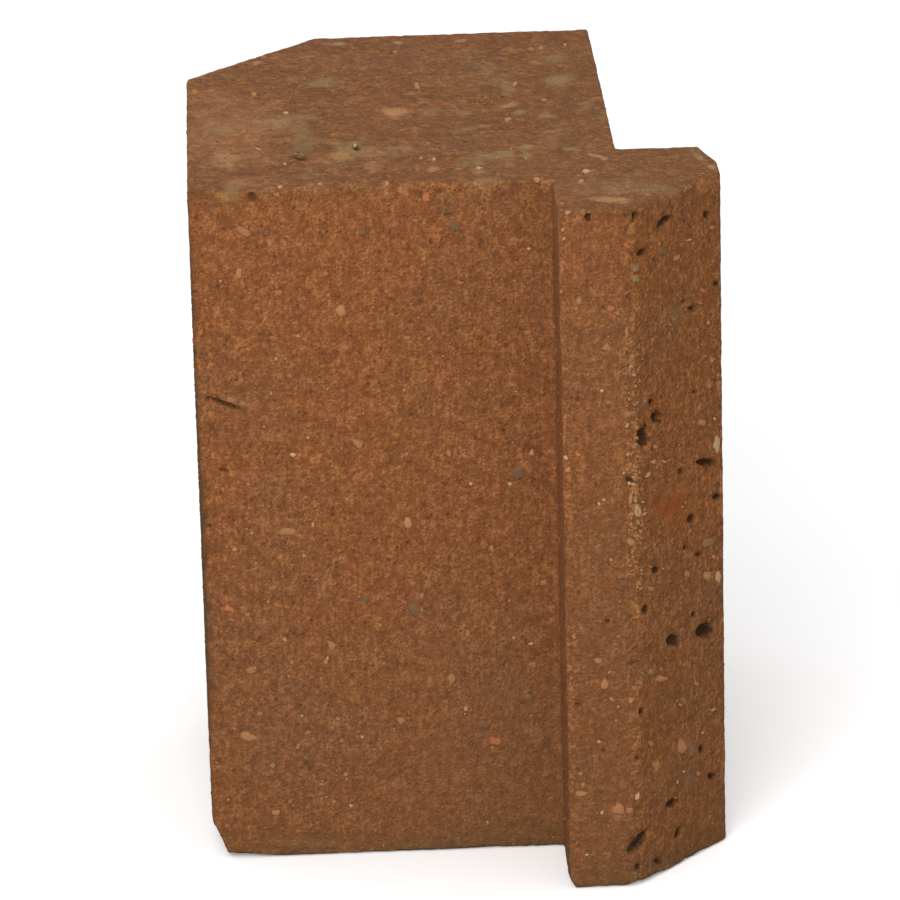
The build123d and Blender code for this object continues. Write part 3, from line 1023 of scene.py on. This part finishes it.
def paste_group(colours):
    """Pigmented sand and paste: each face's clouded colour, streaked and grained, and its relief.

    The sides carry upright drag lines, and the beds blotches that run no way.
    """
    group, nodes, given, made = new_group(
        "Sand and paste",
        [
            ("Vector", VECTOR, None),
            ("Bed", FLOAT, 0.0),
            ("Mitre", FLOAT, 0.0),
            ("Moulded", COLOUR, (*colours.moulded, 1)),
            ("Struck", COLOUR, (*colours.struck, 1)),
            ("Torn", COLOUR, (*colours.torn, 1)),
            ("Ashen", COLOUR, (*colours.ashen, 1)),
            ("Smeared", COLOUR, (*colours.smeared, 1)),
            ("Sand", COLOUR, (*colours.sand, 1)),
            ("Pore", COLOUR, (*colours.pore, 1)),
            ("Contrast", FLOAT, 1.25),
        ],
        [("Color", COLOUR), ("Height", FLOAT), ("Shade", FLOAT)],
    )
    place, bed, mitre = (given.outputs[name] for name in ("Vector", "Bed", "Mitre"))
    paste = clouded_colour(nodes, given, place, bed, mitre)

    mottle = nodes.noise(place, SCALES["mottle"], 4.0, 0.9)
    upright = nodes.noise(nodes.stretch(place, UPRIGHT_STRETCH), SCALES["upright"], 3.0, 0.7)
    level = nodes.noise(place, SCALES["level"], 4.0, 0.65)
    streak = nodes.math("MULTIPLY_ADD", bed, nodes.math("SUBTRACT", level, upright), upright)
    shade = nodes.math("MULTIPLY", mottle, nodes.math("MULTIPLY_ADD", bed, 0.4, 1.1))
    shade = nodes.math("MULTIPLY_ADD", streak, nodes.math("MULTIPLY_ADD", bed, -0.05, 0.75), shade)
    height = nodes.math("MULTIPLY_ADD", mottle, 2.2, nodes.math("MULTIPLY", streak, 0.9))
    light, dark = 0.0, 0.0
    sand = sand_group()
    for scale, light_share, dark_share, shading, raising in GRAINS:
        shares = {"Light_Share": light_share, "Dark_Share": dark_share}
        grain = use_group(nodes, sand, Vector=place, Scale=scale, **shares).outputs
        light = nodes.math("MAXIMUM", light, grain["Light"])
        dark = nodes.math("MAXIMUM", dark, grain["Dark"])
        shade = nodes.math("MULTIPLY_ADD", grain["Shade"], shading, shade)
        height = nodes.math("MULTIPLY_ADD", grain["Height"], raising, height)
    height = nodes.math("MULTIPLY_ADD", nodes.math("SUBTRACT", light, dark), 0.4, height)

    # The mean of the sum, since every noise and shade in it has a mean of a half
    middle = nodes.math("MULTIPLY_ADD", bed, 0.175, 1.205)
    contrast = nodes.math("MULTIPLY_ADD", bed, -0.2, given.outputs["Contrast"])
    shade = nodes.math("MULTIPLY", nodes.math("SUBTRACT", shade, middle), contrast)
    lighter = nodes.math("MAXIMUM", shade, 0.0)
    darker = nodes.math("MAXIMUM", nodes.math("MULTIPLY", shade, -1.0), 0.0)
    paste = nodes.mix(nodes.math("MULTIPLY_ADD", light, 0.28, lighter), paste, given.outputs["Sand"])
    paste = nodes.mix(nodes.math("MULTIPLY_ADD", dark, 0.4, darker), paste, given.outputs["Pore"])
    nodes.put(made.inputs["Color"], paste)
    nodes.put(made.inputs["Height"], height)
    nodes.put(made.inputs["Shade"], shade)
    return group


def use_group(nodes, group, **inputs):
    return nodes.add("ShaderNodeGroup", {"node_tree": group}, **inputs)


def paste_material(name, group):
    """A new material with the paste's group placed in it. Returns it, its Nodes and the group's outputs."""
    material = bpy.data.materials.new(name)
    material.use_nodes = True
    nodes = Nodes(material.node_tree)
    place = nodes.add("ShaderNodeTexCoord").outputs["Object"]
    zones = {"Bed": nodes.attribute("bed"), "Mitre": nodes.attribute("mitre")}
    return material, nodes, use_group(nodes, group, Vector=place, **zones).outputs


def rough_stone(material, nodes, base, paste, relief_depth):
    """The dull finish that paste and stones share."""
    shader = material.node_tree.nodes["Principled BSDF"]
    bump = nodes.add("ShaderNodeBump", Strength=0.9, Distance=relief_depth, Height=paste["Height"])
    nodes.put(shader.inputs["Normal"], bump.outputs[0])
    nodes.put(shader.inputs["Roughness"], nodes.ramp(paste["Shade"], -0.4, 0.4, 0.84, 0.95))
    shader.inputs["Specular IOR Level"].default_value = 0.25
    nodes.put(shader.inputs["Base Color"], base)


# Along X, where painted shade darkens the paste towards the lug
LUG_SIDE = (-20 * MM, 60 * MM)

# Heights up to which painted shade darkens the foot, and how much
FOOT_BANDS = ((12 * MM, 0.35), (110 * MM, 0.22))


def concrete_material(group, colours):
    """The paste, with painted shade at the foot, towards the lug and in the voids, and with stains and pale
    worn arrises.
    """
    material, nodes, paste = paste_material("Brown pressed concrete", group)
    shade = paste["Shade"]

    place = nodes.add("ShaderNodeTexCoord").outputs["Object"]
    across, _, level = nodes.add("ShaderNodeSeparateXYZ", Vector=place).outputs
    # Painted shade: darker towards the lug, except on the mitre, and towards the foot
    not_mitre = nodes.math("SUBTRACT", 1.0, nodes.attribute("mitre"))
    painted_shade = nodes.math("MULTIPLY", nodes.ramp(across, *LUG_SIDE, 0.0, 0.15), not_mitre)
    for top, strength in FOOT_BANDS:
        painted_shade = nodes.math("ADD", painted_shade, nodes.ramp(level, LOW.z, LOW.z + top, strength, 0.0))
    base = nodes.mix(painted_shade, paste["Color"], tuple(colours.painted_shade))
    patchy = nodes.math("ADD", shade, 1.0)
    stained = nodes.math("MULTIPLY", nodes.attribute("stain", "Alpha"), patchy)
    base = nodes.mix(stained, base, nodes.attribute("stain", "Color"))
    worn = nodes.math("MULTIPLY", nodes.attribute("worn"), nodes.ramp(shade, -0.05, 0.25, 0.0, 0.75))
    base = nodes.mix(worn, base, tuple(colours.sand))
    # Painted shade inside the voids
    hollow = nodes.math("MULTIPLY", nodes.attribute("hollow"), 0.95)
    base = nodes.mix(hollow, base, tuple(colours.hollow))
    rough_stone(material, nodes, base, paste, 0.22 * MM)
    return material


def stone_material(group):
    """Each stone's own colour, clouded and filmed with paste, most of all at its rim."""
    material, nodes, paste = paste_material("Exposed stones", group)
    film = nodes.ramp(nodes.attribute("rim"), 0.5, 1.0, 0.0, 0.75)
    film = nodes.math("ADD", film, nodes.attribute("film"))
    film = nodes.math("MULTIPLY_ADD", paste["Shade"], -0.3, film)
    stone = nodes.mix(film, nodes.attribute("stone", "Color"), paste["Color"])
    rough_stone(material, nodes, stone, paste, 0.1 * MM)
    return material


# Operators


def brick_skin(plan, sizes, spacing):
    """Points, outward normals and faces of the whole closed skin: the walls and both beds."""
    grid, normals = wall_surface(plan, sizes, spacing)
    rows, columns = grid.shape[:2]
    lattice, triangles = bed_lattice(plan, grid[0, :, :2], spacing)
    wall_count, bed_count = rows * columns, len(lattice)

    def numbered(ring_start, lattice_start):
        on_ring = triangles < columns
        return np.where(on_ring, triangles + ring_start, triangles - columns + lattice_start)

    beds = [np.column_stack([lattice, np.full(bed_count, z)]) for z in (plan.low, plan.high)]
    facing = [np.tile((0.0, 0.0, way), (bed_count, 1)) for way in (-1, 1)]
    points = np.concatenate([grid.reshape(-1, 3), *beds])
    normals = np.concatenate([normals.reshape(-1, 3), *facing])
    faces = [
        ring_faces(rows, columns),
        numbered(0, wall_count)[:, ::-1],
        numbered(wall_count - columns, wall_count + bed_count),
    ]
    return points, normals, faces


def all_voids(plan, scene):
    """The voids read from the photo and the ones strewn over the other faces, with their depths."""
    surface = scene.brick_surface
    rng = np.random.default_rng(surface.seed)
    seen = Marks.seen(plan, View(scene.brick_stage), VOIDS)
    strewn = Marks.strewn(plan, rng, surface.voids, (1.4 * MM, 5.5 * MM), SEEN_FACES)
    depths = np.array([row[5] * MM for row in VOIDS])
    others = 0.42 * np.linalg.norm(strewn.long + strewn.wide, axis=1)
    return Marks.joined(seen, strewn), np.concatenate([depths, others])


def paste_of(scene):
    """The shader group of sand and paste, made when the first material asks for it."""
    return bpy.data.node_groups.get("Sand and paste") or paste_group(scene.brick_colours)


class BRICK_OT_concrete(bpy.types.Operator):
    """Builds the block and its lug as one closed skin with its relief, voids, wear and broken corners"""

    bl_idname = "brick.concrete"
    bl_label = "Concrete"

    def execute(self, context):
        scene = context.scene
        surface = scene.brick_surface
        plan = Plan(scene.brick_sizes)
        coarser = 1
        points, normals, faces = brick_skin(plan, scene.brick_sizes, surface.spacing * coarser)
        voids, depths = all_voids(plan, scene)
        depth = relief(Zones(plan, points), surface)
        depth += void_depth(voids, depths, points, surface.seed)
        seats = Marks.seen(plan, View(scene.brick_stage), STONES)
        depth += void_depth(seats, np.full(len(STONES), surface.seat), points, surface.seed)
        points = wear_down(plan, points - depth[:, None] * normals, surface)
        piece = new_object("corner_brick_concrete", points, faces)
        thin(piece, surface.triangles // coarser)

        mesh = piece.data
        final = np.clip(mesh_points(mesh), LOW, HIGH)
        mesh.vertices.foreach_set("co", final.astype(np.float32).ravel())
        zones = Zones(plan, final)
        smears = Marks.seen(plan, View(scene.brick_stage), SMEARS)
        set_attribute(mesh, "bed", zones.bed)
        set_attribute(mesh, "mitre", zones.mitre)
        set_attribute(mesh, "worn", worn_share(plan, zones, surface.seed))
        # The voids' depth again, as the mask of the painted shade inside them
        hollow = void_depth(voids, depths, final, surface.seed)
        set_attribute(mesh, "hollow", smooth(0.25 * MM, 1.1 * MM, hollow))
        set_attribute(mesh, "stain", stain(smears, SMEARS, scene.brick_stone_colours, final, surface.seed))
        mesh.polygons.foreach_set("use_smooth", np.full(len(mesh.polygons), True))
        mesh.materials.clear()
        mesh.materials.append(concrete_material(paste_of(scene), scene.brick_colours))
        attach(piece, "root")
        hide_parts("corner_brick")
        return {"FINISHED"}


# Points round a lump and rings over it, for stones and for specks
STONE_POINTS, SPECK_POINTS = (16, 6), (6, 3)
CRUMB_FILM = 0.3  # how far paste hides a crumb


class BRICK_OT_stones(bpy.types.Operator):
    """Builds the stones that show in the faces, from the photo and strewn, as flattened lumps"""

    bl_idname = "brick.stones"
    bl_label = "Exposed stones"

    def execute(self, context):
        scene = context.scene
        stones, surface = scene.brick_stones, scene.brick_surface
        rng = np.random.default_rng(stones.seed)
        plan = Plan(scene.brick_sizes)
        placed = STONES + crumbs(rng, stones.crumbs)
        seen = Marks.seen(plan, View(scene.brick_stage), placed)
        hidden = Marks.strewn(plan, rng, stones.hidden, (1.3 * MM, 5.5 * MM), SEEN_FACES)
        specks = Marks.strewn(plan, rng, stones.specks, (0.7 * MM, 1.5 * MM))
        random_count = stones.hidden + stones.specks
        kinds = [row[5] for row in placed] + self.drawn_kinds(rng, random_count)
        film = rng.uniform(0.05, 0.35, random_count)
        film = np.concatenate([np.zeros(len(STONES)), np.full(stones.crumbs, CRUMB_FILM), film])

        large = Marks.joined(seen, hidden)
        both = ((large, STONE_POINTS), (specks, SPECK_POINTS))
        blocks = [self.shaped(marks, stones, rng, *shape) for marks, shape in both]
        points = np.concatenate([block[0] for block in blocks])
        shift = len(blocks[0][0])
        faces = blocks[0][1] + [block + shift for block in blocks[1][1]]
        piece = new_object("exposed_stones", wear_down(plan, points, surface, 0.1 * MM), faces)

        zones = Zones(plan, points)
        sizes = [around * over + 2 for _, (around, over) in both]
        each = np.repeat(sizes, [len(marks.middle) for marks, _ in both])
        palette = np.array([(*getattr(scene.brick_stone_colours, kind), 1) for kind in kinds])
        palette[:, :3] *= rng.uniform(0.88, 1.06, (len(palette), 1))
        set_attribute(piece.data, "bed", zones.bed)
        set_attribute(piece.data, "mitre", zones.mitre)
        set_attribute(piece.data, "rim", np.concatenate([block[2] for block in blocks]))
        set_attribute(piece.data, "film", np.repeat(film, each))
        set_attribute(piece.data, "stone", np.repeat(palette, each, axis=0))
        piece.data.materials.append(stone_material(paste_of(scene)))
        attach(piece, "root")
        return {"FINISHED"}

    def drawn_kinds(self, rng, count):
        """Kinds at random, the browns most often."""
        shares = {"orange": 3, "tan": 6, "pale": 5, "white": 2, "grey": 4, "green": 2, "ochre": 2, "pink": 3}
        weights = np.array(list(shares.values())) / sum(shares.values())
        return rng.choice(list(shares), count, p=weights).tolist()

    def shaped(self, marks, stones, rng, around, over):
        """Lumps as thick as a share of their width, up to a limit."""
        thick = np.minimum(0.6 * MM, 0.35 * np.linalg.norm(marks.wide, axis=1))
        return lumps(marks, thick, stones.proud, rng, around, over)


# The main lamp, in metres
KEY_PLACE, KEY_SIZE = (-0.35, -1.3, 0.95), 0.9


class BRICK_OT_stage(bpy.types.Operator):
    """Builds the floor, the lamps, the even sky and the camera"""

    bl_idname = "brick.stage"
    bl_label = "Stage"

    def execute(self, context):
        scene, stage = context.scene, context.scene.brick_stage
        self.floor(stage)
        self.lamps(stage)
        self.sky(scene, stage)
        self.camera(scene, stage)
        scene.view_settings.view_transform = "Standard"
        return {"FINISHED"}

    def floor(self, stage):
        half = stage.floor_size / 2
        corners = np.array([(-half, -half, 0), (half, -half, 0), (half, half, 0), (-half, half, 0)])
        corners[:, 2] = LOW.z
        piece = new_object("floor", corners, [np.array([[0, 1, 2, 3]])], False)
        material = bpy.data.materials.new("Pale floor")
        material.use_nodes = True
        nodes = Nodes(material.node_tree)
        shader = material.node_tree.nodes["Principled BSDF"]
        seen = nodes.add("ShaderNodeLightPath").outputs["Is Camera Ray"]
        nodes.put(shader.inputs["Base Color"], nodes.mix(seen, (0.35, 0.35, 0.35), (1, 1, 1)))
        nodes.put(shader.inputs["Emission Color"], (1, 1, 1))
        nodes.put(shader.inputs["Emission Strength"], nodes.math("MULTIPLY", seen, 0.2))
        shader.inputs["Roughness"].default_value = 1
        shader.inputs["Specular IOR Level"].default_value = 0
        piece.data.materials.append(material)

    def lamps(self, stage):
        lamp = bpy.data.lights.new("key", "AREA")
        lamp.energy, lamp.size = stage.key, KEY_SIZE
        holder = bpy.data.objects.new("key", lamp)
        holder.location = KEY_PLACE
        aim = Vector(AIM) - holder.location
        holder.rotation_euler = aim.to_track_quat("-Z", "Y").to_euler()
        bpy.context.scene.collection.objects.link(holder)

    def sky(self, scene, stage):
        world = bpy.data.worlds.new("Even sky")
        world.use_nodes = True
        background = world.node_tree.nodes["Background"]
        background.inputs["Color"].default_value = (1, 1, 1, 1)
        background.inputs["Strength"].default_value = stage.world
        scene.world = world

    def camera(self, scene, stage):
        view = View(stage)
        data = bpy.data.cameras.new("camera")
        data.lens, data.sensor_width = stage.lens, SENSOR
        camera = bpy.data.objects.new("camera", data)
        axes = Matrix((view.right, view.above, view.back)).transposed().to_4x4()
        camera.matrix_world = Matrix.Translation(view.place) @ axes
        scene.collection.objects.link(camera)
        scene.camera = camera


class BRICK_PT_panel(bpy.types.Panel):
    """Lists the brick's operators and settings in the sidebar"""

    bl_idname = "BRICK_PT_panel"
    bl_label = "Concrete Corner Brick"
    bl_space_type = "VIEW_3D"
    bl_region_type = "UI"
    bl_category = "Brick"

    def draw(self, context):
        for operator in OPERATORS:
            self.layout.operator(operator.bl_idname)
        for name in SETTINGS:
            box = self.layout.box()
            settings = getattr(context.scene, name)
            for key in settings.__annotations__:
                box.prop(settings, key)


OPERATORS = (BRICK_OT_concrete, BRICK_OT_stones, BRICK_OT_stage)
SETTINGS = {
    "brick_sizes": BrickSizes,
    "brick_surface": BrickSurface,
    "brick_stones": StoneSettings,
    "brick_colours": BrickColours,
    "brick_stone_colours": StoneColours,
    "brick_stage": StageSettings,
}


def register():
    for item in (*SETTINGS.values(), *OPERATORS, BRICK_PT_panel):
        bpy.utils.register_class(item)
    for name, group in SETTINGS.items():
        setattr(bpy.types.Scene, name, PointerProperty(type=group))


def unregister():
    for name in SETTINGS:
        delattr(bpy.types.Scene, name)
    for item in reversed((*SETTINGS.values(), *OPERATORS, BRICK_PT_panel)):
        bpy.utils.unregister_class(item)


def main():
    register()
    bpy.ops.brick.concrete()
    bpy.ops.brick.stones()
    bpy.ops.brick.stage()


if __name__ == "__main__":
    main()
